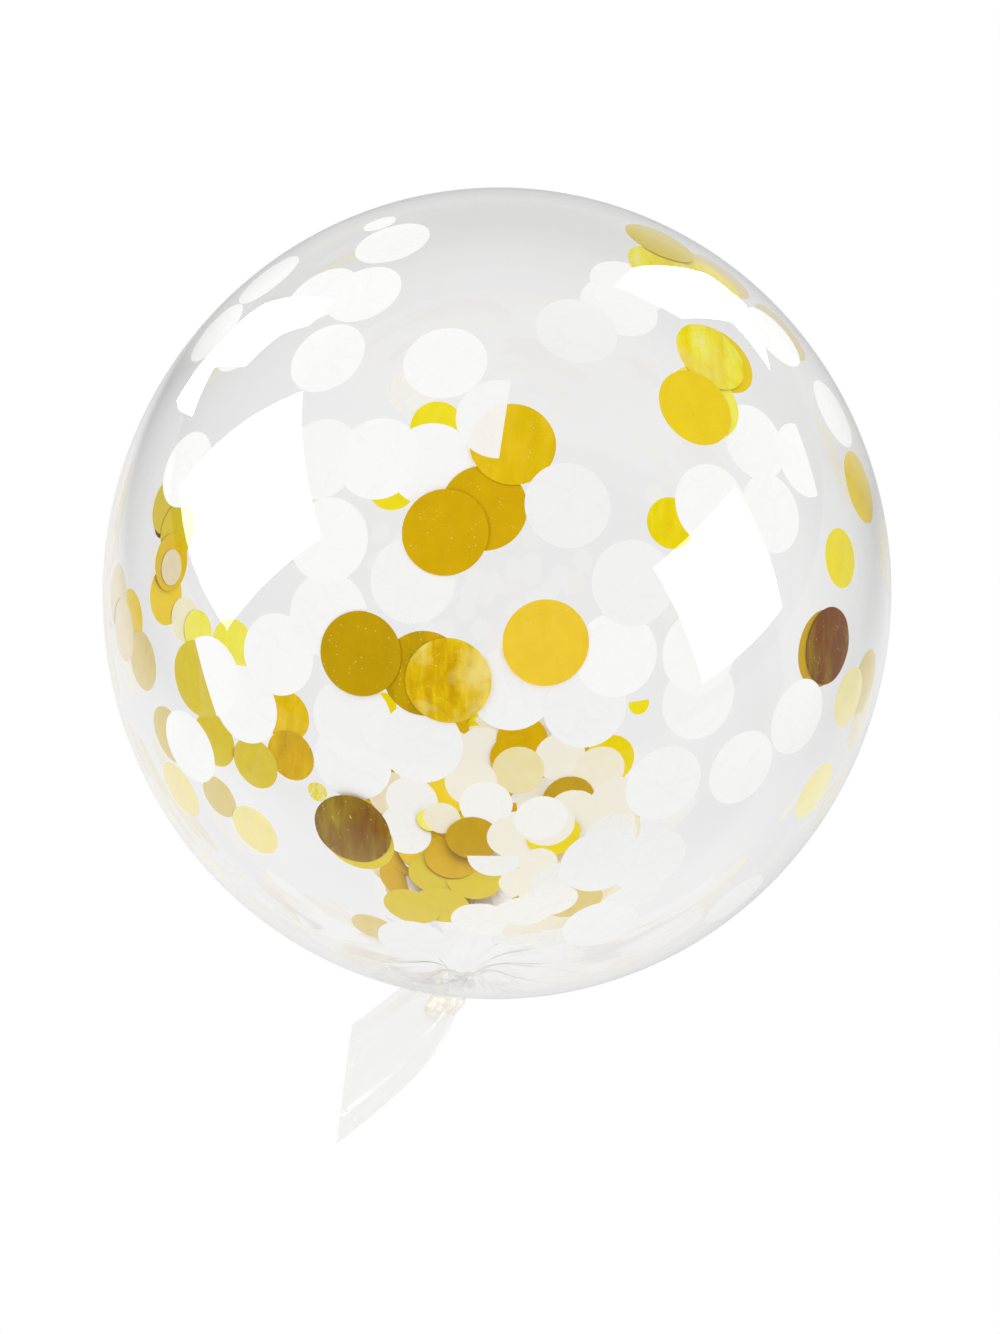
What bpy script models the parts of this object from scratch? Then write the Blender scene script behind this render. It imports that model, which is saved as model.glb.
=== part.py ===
"""Clear bubble balloon, blown up, knotted at its neck and lying on its side.

Metres, +Z up. The origin is the middle of the small flat spot that the balloon rests on.
The neck points along -Y and down, and the loose end of the film lies on the floor.
"""

import math

import bmesh
import bpy
from mathutils import Matrix, Vector

# The bubble
BUBBLE_WIDTH = 0.450
BUBBLE_LENGTH = 0.463
NECK_DIP = math.radians(56)
REST_SPOT_RADIUS = 0.034

# The gather, where the film draws in from the round to the neck
GATHER_RADIUS = 0.034
GATHER_LENGTH = 0.018
NECK_RADIUS = 0.0055
PLEATS = 12
PLEAT_DEPTH = 0.0024

# The knot in the neck, which the weight of the loose end pulls to one side
NECK_LENGTH = 0.014
NECK_SWAY = 0.014
KNOT_WIDTH = 0.021
KNOT_STRAND = 0.004
KNOT_TILT = math.radians(24)

# The loose end of the film below the knot, pressed flat and pleated
TAIL_LENGTH = 0.087
TAIL_TURN = math.radians(40)
TAIL_ROOT_WIDTH = 0.014
TAIL_ROOT_OVERLAP = 0.006
TAIL_MOUTH_WIDTH = 0.072
TAIL_TIP_EDGE_OPENING = 2.4
TAIL_CORNER_EDGE_OPENING = 0.9
TAIL_MOUTH_SLANT = math.radians(45)
TAIL_MOUTH_ROLL = math.radians(11)
TAIL_FLOOR_GAP = 0.0006
TAIL_THICKNESS = 0.0028
TAIL_FLAT_FROM = 0.24  # as a share of its length
TAIL_PLEATS = 3
TAIL_PLEAT_DEPTH = 0.0022
TAIL_BEND = 0.010
TAIL_ARCH = 0.006

# How finely the round forms are cut
BUBBLE_STEPS = 72
BUBBLE_BANDS = 34
GATHER_BANDS = 6
TAIL_SECTIONS = 18
TAIL_SECTION_POINTS = 36

FILM_COLOUR = (0.93, 0.94, 0.95, 1.0)
MERGE_DISTANCE = 0.00005

HALF_WIDTH = BUBBLE_WIDTH / 2
HALF_LENGTH = BUBBLE_LENGTH / 2
NECK_DIRECTION = Vector((0, -math.cos(NECK_DIP), -math.sin(NECK_DIP)))
TAIL_HEADING = Vector((-math.sin(TAIL_TURN), -math.cos(TAIL_TURN), 0))


def clear_scene():
    for obj in list(bpy.data.objects):
        bpy.data.objects.remove(obj)


def new_collection(name):
    collection = bpy.data.collections.new(name)
    bpy.context.scene.collection.children.link(collection)
    return collection


def film_material():
    """Clear, glossy plastic film."""
    material = bpy.data.materials.new("clear_film")
    material.use_nodes = True
    shader = material.node_tree.nodes["Principled BSDF"]
    shader.inputs["Base Color"].default_value = FILM_COLOUR
    shader.inputs["Metallic"].default_value = 0.0
    shader.inputs["Roughness"].default_value = 0.05
    shader.inputs["Transmission Weight"].default_value = 1.0
    return material


def smooth_step(t):
    return t * t * (3 - 2 * t)


def length_at(radius):
    """How far along the neck's axis the round film is, at this distance from that axis."""
    return HALF_LENGTH * math.sqrt(1 - (radius / HALF_WIDTH) ** 2)


def bubble_centre():
    """The bubble's middle, placed so that the rest spot lies at the origin."""
    down = Vector((0, 0, -1))
    stretch = HALF_LENGTH**2 - HALF_WIDTH**2
    along = down.dot(NECK_DIRECTION)
    reach = math.sqrt(HALF_WIDTH**2 + stretch * along**2)
    lowest = (down * HALF_WIDTH**2 + NECK_DIRECTION * stretch * along) / reach
    spot_depth = HALF_WIDTH - math.sqrt(HALF_WIDTH**2 - REST_SPOT_RADIUS**2)
    return -lowest - Vector((0, 0, spot_depth))


def gather_start():
    return length_at(GATHER_RADIUS)


def neck_start():
    return gather_start() + GATHER_LENGTH


def knot_middle():
    return neck_start() + NECK_LENGTH / 2


def sway(along):
    """How far the tail pulls the neck aside, at this distance along the neck's axis."""
    share = max(0, along - gather_start()) / (knot_middle() - gather_start())
    return TAIL_HEADING * NECK_SWAY * share**2


def bubble_profile():
    """Points (radius, z) from the crown, down the outside and along the neck to its closed end."""
    last_angle = math.pi - math.asin(GATHER_RADIUS / HALF_WIDTH)
    points = []
    for i in range(BUBBLE_BANDS + 1):
        angle = last_angle * i / BUBBLE_BANDS
        points.append((HALF_WIDTH * math.sin(angle), HALF_LENGTH * math.cos(angle)))
    for i in range(1, GATHER_BANDS + 1):
        share = i / GATHER_BANDS
        drawn_in = math.sin(share * math.pi / 2)
        radius = GATHER_RADIUS + (NECK_RADIUS - GATHER_RADIUS) * drawn_in
        points.append((radius, -gather_start() - GATHER_LENGTH * share**1.5))
    points.append((NECK_RADIUS, -knot_middle()))
    points.append((0.0, -knot_middle()))
    return points


def mesh_object(name, bm, collection):
    mesh = bpy.data.meshes.new(name)
    bm.to_mesh(mesh)
    bm.free()
    obj = bpy.data.objects.new(name, mesh)
    collection.objects.link(obj)
    return obj


def baked(obj):
    """The object with its modifiers applied, as a plain mesh."""
    graph = bpy.context.evaluated_depsgraph_get()
    obj.data = bpy.data.meshes.new_from_object(obj.evaluated_get(graph))
    obj.modifiers.clear()
    return obj


def make_bubble(collection):
    """The turned bubble with its gather and neck, on its own axis with the neck at -Z."""
    outline = bmesh.new()
    corners = [outline.verts.new((radius, 0, z)) for radius, z in bubble_profile()]
    for first, second in zip(corners, corners[1:]):
        outline.edges.new((first, second))
    bubble = mesh_object("clear_film_balloon", outline, collection)
    turn = bubble.modifiers.new("turn", "SCREW")
    turn.steps = BUBBLE_STEPS
    turn.render_steps = BUBBLE_STEPS
    turn.use_merge_vertices = True
    turn.merge_threshold = MERGE_DISTANCE
    return baked(bubble)


def pleat_gather(bubble):
    """Presses radial pleats into the film round the neck, dying out on the round and at the neck."""
    reach = GATHER_RADIUS * 2.2
    for vertex in bubble.data.vertices:
        radius = math.hypot(vertex.co.x, vertex.co.y)
        if vertex.co.z > 0 or radius > reach or radius < NECK_RADIUS * 1.01:
            continue
        if radius > GATHER_RADIUS:
            strength = 1 - (radius - GATHER_RADIUS) / (reach - GATHER_RADIUS)
        else:
            strength = (radius - NECK_RADIUS) / (GATHER_RADIUS - NECK_RADIUS)
        wave = math.cos(PLEATS * math.atan2(vertex.co.y, vertex.co.x))
        vertex.co.z += PLEAT_DEPTH * smooth_step(strength) * wave / 2


def lay_down(obj, centre):
    """Turns a piece from the neck's own axis to the way the balloon lies, with its neck pulled aside."""
    turned = NECK_DIRECTION.to_track_quat("-Z", "Y").to_matrix().to_4x4()
    aside = [sway(-vertex.co.z) for vertex in obj.data.vertices]
    obj.data.transform(Matrix.Translation(centre) @ turned)
    for vertex, shift in zip(obj.data.vertices, aside):
        vertex.co += shift


def make_knot(collection, centre):
    """The strand of twisted film that crosses over the neck, as a tilted ring."""
    bpy.ops.mesh.primitive_torus_add(
        major_radius=KNOT_WIDTH / 2 - KNOT_STRAND,
        minor_radius=KNOT_STRAND,
        major_segments=28,
        minor_segments=12,
    )
    knot = bpy.context.object
    knot.name = "knot_strand"
    for owner in list(knot.users_collection):
        owner.objects.unlink(knot)
    collection.objects.link(knot)
    lean = Matrix.Rotation(KNOT_TILT, 4, "X")
    knot.data.transform(Matrix.Translation((0, 0, -knot_middle())) @ lean)
    lay_down(knot, centre)
    return knot


def tail_half_width(share, opening):
    """Half the tail's width. An edge with a low opening fans out from the knot at once, the other late."""
    opened = math.sin(share * math.pi / 2) ** opening
    return (TAIL_ROOT_WIDTH + (TAIL_MOUTH_WIDTH - TAIL_ROOT_WIDTH) * opened) / 2


def tail_half_thickness(share):
    """As thick as the knot's root at first, and soon pressed flat."""
    pressed = smooth_step(min(1, share / TAIL_FLAT_FROM))
    return TAIL_ROOT_WIDTH / 2 + (TAIL_THICKNESS - TAIL_ROOT_WIDTH) / 2 * pressed


def tail_spine(share, start):
    """The middle of the tail: out along the neck, then bent over to lie on the floor."""
    end = start + TAIL_HEADING * TAIL_LENGTH
    end.z = math.sin(TAIL_MOUTH_ROLL) * TAIL_MOUTH_WIDTH / 2 + TAIL_PLEAT_DEPTH / 2 + TAIL_FLOOR_GAP
    bend = start + NECK_DIRECTION * TAIL_BEND
    level = Vector((bend.x, bend.y, 0)) + TAIL_HEADING * TAIL_LENGTH * 0.2
    level.z = end.z + TAIL_ARCH
    rest = 1 - share
    return start * rest**3 + bend * 3 * rest**2 * share + level * 3 * rest * share**2 + end * share**3


def tail_section(share, start):
    """One closed ring round the flattened tail, wide across the mouth and waved by its pleats."""
    step = 0.01
    along = tail_spine(min(share + step, 1), start) - tail_spine(max(share - step, 0), start)
    slant = -TAIL_TURN - TAIL_MOUTH_SLANT * smooth_step(share)
    across = Vector((math.cos(slant), math.sin(slant), 0))
    across.z = -math.tan(TAIL_MOUTH_ROLL * share)
    across.normalize()
    normal = across.cross(along).normalized()
    if normal.z < 0:
        normal.negate()
    corner_half = tail_half_width(share, TAIL_CORNER_EDGE_OPENING)
    tip_half = tail_half_width(share, TAIL_TIP_EDGE_OPENING)
    half_thickness = tail_half_thickness(share)
    middle = tail_spine(share, start)
    ring = []
    for i in range(TAIL_SECTION_POINTS):
        angle = 2 * math.pi * i / TAIL_SECTION_POINTS
        sideways = math.cos(angle)
        wave = math.sin(TAIL_PLEATS * math.pi * sideways + share) * TAIL_PLEAT_DEPTH / 2
        off = half_thickness * math.sin(angle) + wave * smooth_step(share)
        half_width = tip_half if sideways > 0 else corner_half
        ring.append(middle + across * half_width * sideways + normal * off)
    return ring


def make_tail(collection, start):
    """Lofts the loose end of the film through its sections."""
    bm = bmesh.new()
    rings = []
    for i in range(TAIL_SECTIONS + 1):
        section = tail_section(i / TAIL_SECTIONS, start)
        ring = [bm.verts.new(point) for point in section]
        rings.append([bm.edges.new((ring[k - 1], ring[k])) for k in range(len(ring))])
    for first, second in zip(rings, rings[1:]):
        bmesh.ops.bridge_loops(bm, edges=first + second)
    for ring in (rings[0], rings[-1]):
        bmesh.ops.holes_fill(bm, edges=ring, sides=TAIL_SECTION_POINTS)
    bmesh.ops.recalc_face_normals(bm, faces=bm.faces)
    return mesh_object("tail_film", bm, collection)


def combine(target, other, operation):
    """Joins other to target, or cuts it away."""
    joint = target.modifiers.new(operation.lower(), "BOOLEAN")
    joint.operation = operation
    joint.object = other
    other.hide_render = True
    other.display_type = "WIRE"
    baked(target)


def make_floor_cutter(collection):
    """A block under the floor, which cuts the flat spot that the balloon rests on."""
    bm = bmesh.new()
    bmesh.ops.create_cube(bm, size=BUBBLE_LENGTH * 2)
    bmesh.ops.translate(bm, verts=bm.verts, vec=(0, 0, -BUBBLE_LENGTH))
    return mesh_object("floor_cutter", bm, collection)


def main():
    clear_scene()
    parts = new_collection("confetti_balloon")
    cutters = new_collection("cutters")
    centre = bubble_centre()
    balloon = make_bubble(parts)
    pleat_gather(balloon)
    lay_down(balloon, centre)
    root = knot_middle() - TAIL_ROOT_OVERLAP
    tail_start = centre + NECK_DIRECTION * root + sway(root)
    combine(balloon, make_knot(cutters, centre), "UNION")
    combine(balloon, make_tail(cutters, tail_start), "UNION")
    combine(balloon, make_floor_cutter(cutters), "DIFFERENCE")
    balloon.data.materials.clear()
    balloon.data.materials.append(film_material())
    balloon.data.shade_smooth()
    balloon.data.set_sharp_from_angle(angle=math.radians(40))


main()
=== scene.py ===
import math
import random

import bmesh
import bpy
from mathutils import Matrix, Vector, noise


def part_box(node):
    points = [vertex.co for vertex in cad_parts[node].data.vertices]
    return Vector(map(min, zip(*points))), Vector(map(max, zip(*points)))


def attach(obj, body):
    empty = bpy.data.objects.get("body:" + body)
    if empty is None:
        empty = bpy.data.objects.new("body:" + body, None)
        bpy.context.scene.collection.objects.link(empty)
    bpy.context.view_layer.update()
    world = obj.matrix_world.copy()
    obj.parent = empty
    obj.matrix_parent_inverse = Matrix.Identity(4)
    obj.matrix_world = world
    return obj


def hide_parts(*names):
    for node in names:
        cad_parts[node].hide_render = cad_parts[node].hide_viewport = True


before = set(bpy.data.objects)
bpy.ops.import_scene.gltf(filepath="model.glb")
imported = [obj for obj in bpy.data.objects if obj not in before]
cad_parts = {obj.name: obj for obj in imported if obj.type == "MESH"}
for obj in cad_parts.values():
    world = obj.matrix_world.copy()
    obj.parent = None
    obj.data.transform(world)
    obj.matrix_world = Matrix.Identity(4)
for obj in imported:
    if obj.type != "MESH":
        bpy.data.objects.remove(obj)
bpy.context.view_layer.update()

# Clear balloon lying on its neck side, with loose gold and white confetti sealed inside.
# Metres, +Z up. The neck points along -Y and down, its loose end lies on the floor.

bubble = {
    "width": 0.450,
    "length": 0.463,
    "neckDip": math.radians(56),  # how far the neck points below level
    "filmThickness": 0.00035,
    "steps": 192,
    "bands": 110,
    "markRadius": 0.0034,  # the small moulded mark at the crown
    "markHeight": 0.0002,
}
halfWidth = bubble["width"] / 2
halfLength = bubble["length"] / 2
neckDirection = Vector((0, -math.cos(bubble["neckDip"]), -math.sin(bubble["neckDip"])))

# The bubble's middle, from the far side and the top of the CAD node's box
nodeLow, nodeHigh = (Vector(corner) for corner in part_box("clear_film_balloon"))
reachBack = math.hypot(halfWidth * math.sin(bubble["neckDip"]), halfLength * math.cos(bubble["neckDip"]))
reachUp = math.hypot(halfWidth * math.cos(bubble["neckDip"]), halfLength * math.sin(bubble["neckDip"]))
centre = Vector((0, nodeHigh.y - reachBack, nodeHigh.z - reachUp))

# Camera, looking down on the neck side of the balloon
camera = {
    "distance": 0.82125,  # from the bubble's middle
    "side": math.radians(9.2),
    "height": math.radians(45),
    "yaw": math.radians(9.024),
    "pitch": math.radians(47.761),
    "lens": 37.32,
    "sensor": 36.0,
}
imageWidth = 1000
imageHeight = 1334
focalPixels = camera["lens"] / camera["sensor"] * imageHeight


def placeCamera():
    data = bpy.data.cameras.new("photoCamera")
    data.lens = camera["lens"]
    data.sensor_width = camera["sensor"]
    data.clip_start = 0.01
    eye = bpy.data.objects.new("photoCamera", data)
    level = math.cos(camera["height"])
    away = Vector((math.sin(camera["side"]) * level,
                   -math.cos(camera["side"]) * level,
                   math.sin(camera["height"])))
    eye.location = centre + away * camera["distance"]
    eye.rotation_euler = (math.pi / 2 - camera["pitch"], 0, camera["yaw"])
    bpy.context.scene.collection.objects.link(eye)
    bpy.context.scene.camera = eye
    return eye


eye = placeCamera()
viewTurn = eye.rotation_euler.to_matrix()
print("camera placed")


def sightLine(x, y):
    # The direction in which the camera sees this point of the picture
    across = (x - imageWidth / 2) / focalPixels
    up = (imageHeight / 2 - y) / focalPixels
    return (viewTurn @ Vector((across, up, -1))).normalized()


def onAxis(point):
    # A point's place on the bubble's own axes: along the neck, and away from the neck's axis
    offset = point - centre
    along = offset.dot(neckDirection)
    return along, offset - neckDirection * along


def wallNormal(point):
    along, aside = onAxis(point)
    return (aside / halfWidth**2 + neckDirection * along / halfLength**2).normalized()


def toWall(point, depth):
    # The point moved straight out from the middle until it is this deep inside the wall
    along, aside = onAxis(point)
    reach = math.hypot(aside.length / (halfWidth - depth), along / (halfLength - depth))
    return centre + (point - centre) / reach


def depthOf(point):
    along, aside = onAxis(point)
    return halfWidth * (1 - math.hypot(aside.length / halfWidth, along / halfLength))


def alongSight(way, far=False, depth=0.0):
    # Where a line from the camera meets the near or the far wall
    alongStart, asideStart = onAxis(eye.location)
    alongWay = way.dot(neckDirection)
    asideWay = way - neckDirection * alongWay
    wide, long = (halfWidth - depth)**2, (halfLength - depth)**2
    a = asideWay.dot(asideWay) / wide + alongWay**2 / long
    b = asideStart.dot(asideWay) / wide + alongStart * alongWay / long
    c = asideStart.dot(asideStart) / wide + alongStart**2 / long - 1
    root = math.sqrt(max(0, b * b - a * c))
    distance = (-b + root) / a if far else (-b - root) / a
    return eye.location + way * distance


def seenOnWall(x, y, far=False, depth=0.0):
    # The place on the wall that shows at this point of the picture
    return alongSight(sightLine(x, y), far, depth)


def rimShare(point):
    # How close the camera sees this point to the upper rim: 0 in the middle, 1 at the rim
    way = (point - eye.location).normalized()
    normal = wallNormal(alongSight(way))
    steepness = math.sqrt(max(0, 1 - normal.dot(way)**2))
    return min(1, (max(0, steepness - 0.6) / 0.35)**2) * smoothStep((normal.z - 0.1) / 0.4)


def smoothStep(t):
    t = max(0, min(1, t))
    return t * t * (3 - 2 * t)


def pieceFrom(name, bm, material, smooth=True):
    mesh = bpy.data.meshes.new(name)
    bm.to_mesh(mesh)
    bm.free()
    if smooth:
        mesh.shade_smooth()
    mesh.materials.append(material)
    piece = bpy.data.objects.new(name, mesh)
    bpy.context.scene.collection.objects.link(piece)
    return piece


def giveWall(piece, thickness, offset):
    # Gives the sheet its thickness and keeps its cut edges crisp
    wall = piece.modifiers.new("wall", "SOLIDIFY")
    wall.thickness = thickness
    wall.offset = offset
    wall.use_even_offset = False
    graph = bpy.context.evaluated_depsgraph_get()
    piece.data = bpy.data.meshes.new_from_object(piece.evaluated_get(graph))
    piece.data.name = piece.name
    piece.modifiers.clear()
    piece.data.shade_smooth()
    piece.data.set_sharp_from_angle(angle=math.radians(50))


# Materials

def newMaterial(name):
    material = bpy.data.materials.new(name)
    material.use_nodes = True
    return material, material.node_tree, material.node_tree.nodes["Principled BSDF"]


def addNode(tree, kind, **settings):
    node = tree.nodes.new(kind)
    for name, value in settings.items():
        if hasattr(node, name):
            setattr(node, name, value)
        else:
            node.inputs[name.replace("_", " ")].default_value = value
    return node


def creasesGroup():
    # Long fine folds crossed by short ones, as in paper or film that has been handled
    group = bpy.data.node_groups.new("handledCreases", "ShaderNodeTree")
    group.interface.new_socket("Vector", in_out="INPUT", socket_type="NodeSocketVector")
    group.interface.new_socket("Scale", in_out="INPUT", socket_type="NodeSocketFloat")
    group.interface.new_socket("Height", in_out="OUTPUT", socket_type="NodeSocketFloat")
    start = group.nodes.new("NodeGroupInput")
    end = group.nodes.new("NodeGroupOutput")
    warp = addNode(group, "ShaderNodeTexNoise", Scale=1.7, Detail=2.0)
    push = addNode(group, "ShaderNodeVectorMath", operation="MULTIPLY_ADD")
    push.inputs[1].default_value = (0.5, 0.5, 0.5)
    cells = addNode(group, "ShaderNodeTexVoronoi", feature="DISTANCE_TO_EDGE")
    folds = addNode(group, "ShaderNodeMapRange", interpolation_type="SMOOTHSTEP")
    folds.inputs["From Max"].default_value = 0.22
    fine = addNode(group, "ShaderNodeTexNoise", Scale=9.0, Detail=4.0, Roughness=0.6)
    both = addNode(group, "ShaderNodeMath", operation="MULTIPLY_ADD")
    both.inputs[1].default_value = 0.35
    links = group.links
    links.new(start.outputs["Vector"], warp.inputs["Vector"])
    links.new(warp.outputs["Color"], push.inputs[0])
    links.new(start.outputs["Vector"], push.inputs[2])
    links.new(push.outputs["Vector"], cells.inputs["Vector"])
    links.new(start.outputs["Scale"], cells.inputs["Scale"])
    links.new(cells.outputs["Distance"], folds.inputs["Value"])
    links.new(start.outputs["Vector"], fine.inputs["Vector"])
    links.new(fine.outputs["Fac"], both.inputs[0])
    links.new(folds.outputs["Result"], both.inputs[2])
    links.new(both.outputs["Value"], end.inputs["Height"])
    return group


def groupNode(tree, group, **values):
    node = tree.nodes.new("ShaderNodeGroup")
    node.node_tree = group
    for name, value in values.items():
        node.inputs[name].default_value = value
    return node


creases = creasesGroup()

film = {
    "colour": (0.968, 0.968, 0.968, 1),
    "streakColour": (0.925, 0.925, 0.922, 1),
    "ior": 1.36,
    "streakScale": 5.0,
}


def clearFilm():
    # Clear stretched film, with faint streaks where it has stretched unevenly
    material, tree, shader = newMaterial("clear_film")
    shader.inputs["Transmission Weight"].default_value = 1.0
    shader.inputs["Roughness"].default_value = 0.0
    shader.inputs["IOR"].default_value = film["ior"]
    place = addNode(tree, "ShaderNodeTexCoord")
    turn = addNode(tree, "ShaderNodeMapping")
    turn.inputs["Rotation"].default_value = (bubble["neckDip"], 0, 0)
    turn.inputs["Scale"].default_value = (1.0, 1.0, 0.25)
    streaks = addNode(tree, "ShaderNodeTexNoise", Scale=film["streakScale"], Detail=5.0, Distortion=0.6)
    tint = addNode(tree, "ShaderNodeMix", data_type="RGBA")
    tint.inputs["A"].default_value = film["colour"]
    tint.inputs["B"].default_value = film["streakColour"]
    tree.links.new(place.outputs["Object"], turn.inputs["Vector"])
    tree.links.new(turn.outputs["Vector"], streaks.inputs["Vector"])
    tree.links.new(streaks.outputs["Fac"], tint.inputs["Factor"])
    tree.links.new(tint.outputs["Result"], shader.inputs["Base Color"])
    return material


crumpledFilm = {
    "colour": (0.985, 0.985, 0.98, 1),
    "transmission": 0.88,
    "roughness": 0.30,
    "ior": 1.45,
    "creaseScale": 26.0,
    "creaseStrength": 0.30,
    "creaseDistance": 0.0006,
}
knottedFilm = {
    "colour": (0.95, 0.925, 0.86, 1),
    "transmission": 0.35,
    "roughness": 0.35,
    "ior": 1.45,
    "creaseScale": 110.0,
    "creaseStrength": 0.6,
    "creaseDistance": 0.0006,
}


def creasedFilm(name, settings):
    # The same film where it is gathered and crumpled, which makes it milky
    material, tree, shader = newMaterial(name)
    shader.inputs["Base Color"].default_value = settings["colour"]
    shader.inputs["Transmission Weight"].default_value = settings["transmission"]
    shader.inputs["IOR"].default_value = settings["ior"]
    place = addNode(tree, "ShaderNodeTexCoord")
    folds = groupNode(tree, creases, Scale=settings["creaseScale"])
    cloud = addNode(tree, "ShaderNodeTexNoise", Scale=settings["creaseScale"], Detail=3.0)
    rough = addNode(tree, "ShaderNodeMapRange")
    rough.inputs["To Min"].default_value = settings["roughness"] * 0.5
    rough.inputs["To Max"].default_value = settings["roughness"] * 1.5
    bump = addNode(tree, "ShaderNodeBump", Strength=settings["creaseStrength"],
                   Distance=settings["creaseDistance"])
    tree.links.new(place.outputs["Object"], folds.inputs["Vector"])
    tree.links.new(place.outputs["Object"], cloud.inputs["Vector"])
    tree.links.new(cloud.outputs["Fac"], rough.inputs["Value"])
    tree.links.new(rough.outputs["Result"], shader.inputs["Roughness"])
    tree.links.new(folds.outputs["Height"], bump.inputs["Height"])
    tree.links.new(bump.outputs["Normal"], shader.inputs["Normal"])
    return material


# Foil tones: from painted dark reflections of the mirror foil to the palest discs, then the duller ones
foilTones = {
    # painted dark reflections: the darkest tones stand for the foil mirroring the dark room
    "paintedReflectionBrown": (0.21, 0.060, 0.001, 1),
    "paintedReflectionOlive": (0.27, 0.143, 0.001, 1),
    "paintedReflectionKhaki": (0.40, 0.270, 0.004, 1),
    "dim": (0.60, 0.367, 0.002, 1),
    "gold": (0.73, 0.447, 0.002, 1),
    "bright": (0.82, 0.560, 0.005, 1),
    "orange": (0.96, 0.655, 0.043, 1),
    "amber": (0.93, 0.685, 0.018, 1),
    "lemon": (0.91, 0.730, 0.004, 1),
    "yellow": (0.97, 0.835, 0.018, 1),
    "straw": (0.98, 0.925, 0.110, 1),
    "pale": (0.97, 0.870, 0.420, 1),
    "cream": (0.985, 0.935, 0.690, 1),
    "beige": (0.88, 0.765, 0.540, 1),
    "tan": (0.78, 0.630, 0.220, 1),
    "moss": (0.76, 0.600, 0.024, 1),
}
toneStep = 1 / (len(foilTones) - 1)
foil = {
    "metallic": 0.06,
    "roughness": 0.3,
    "specular": 0.05,
    "cloudScale": 3.5,
    "paintedGlintScale": 22.0,
    "paintedGlintSize": 0.19,
    "paintedGlintColour": (0.96, 0.80, 0.26, 1),
    "creaseScale": 2.4,
    "creaseDistance": 0.0010,
    "leastDrift": 0.06,  # how far the tone wanders over a smooth disc, and how much more on a creased one, where the wander is painted light and shade along the folds
    "paintedFoldShadeAndTone": 0.70,
}


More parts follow.
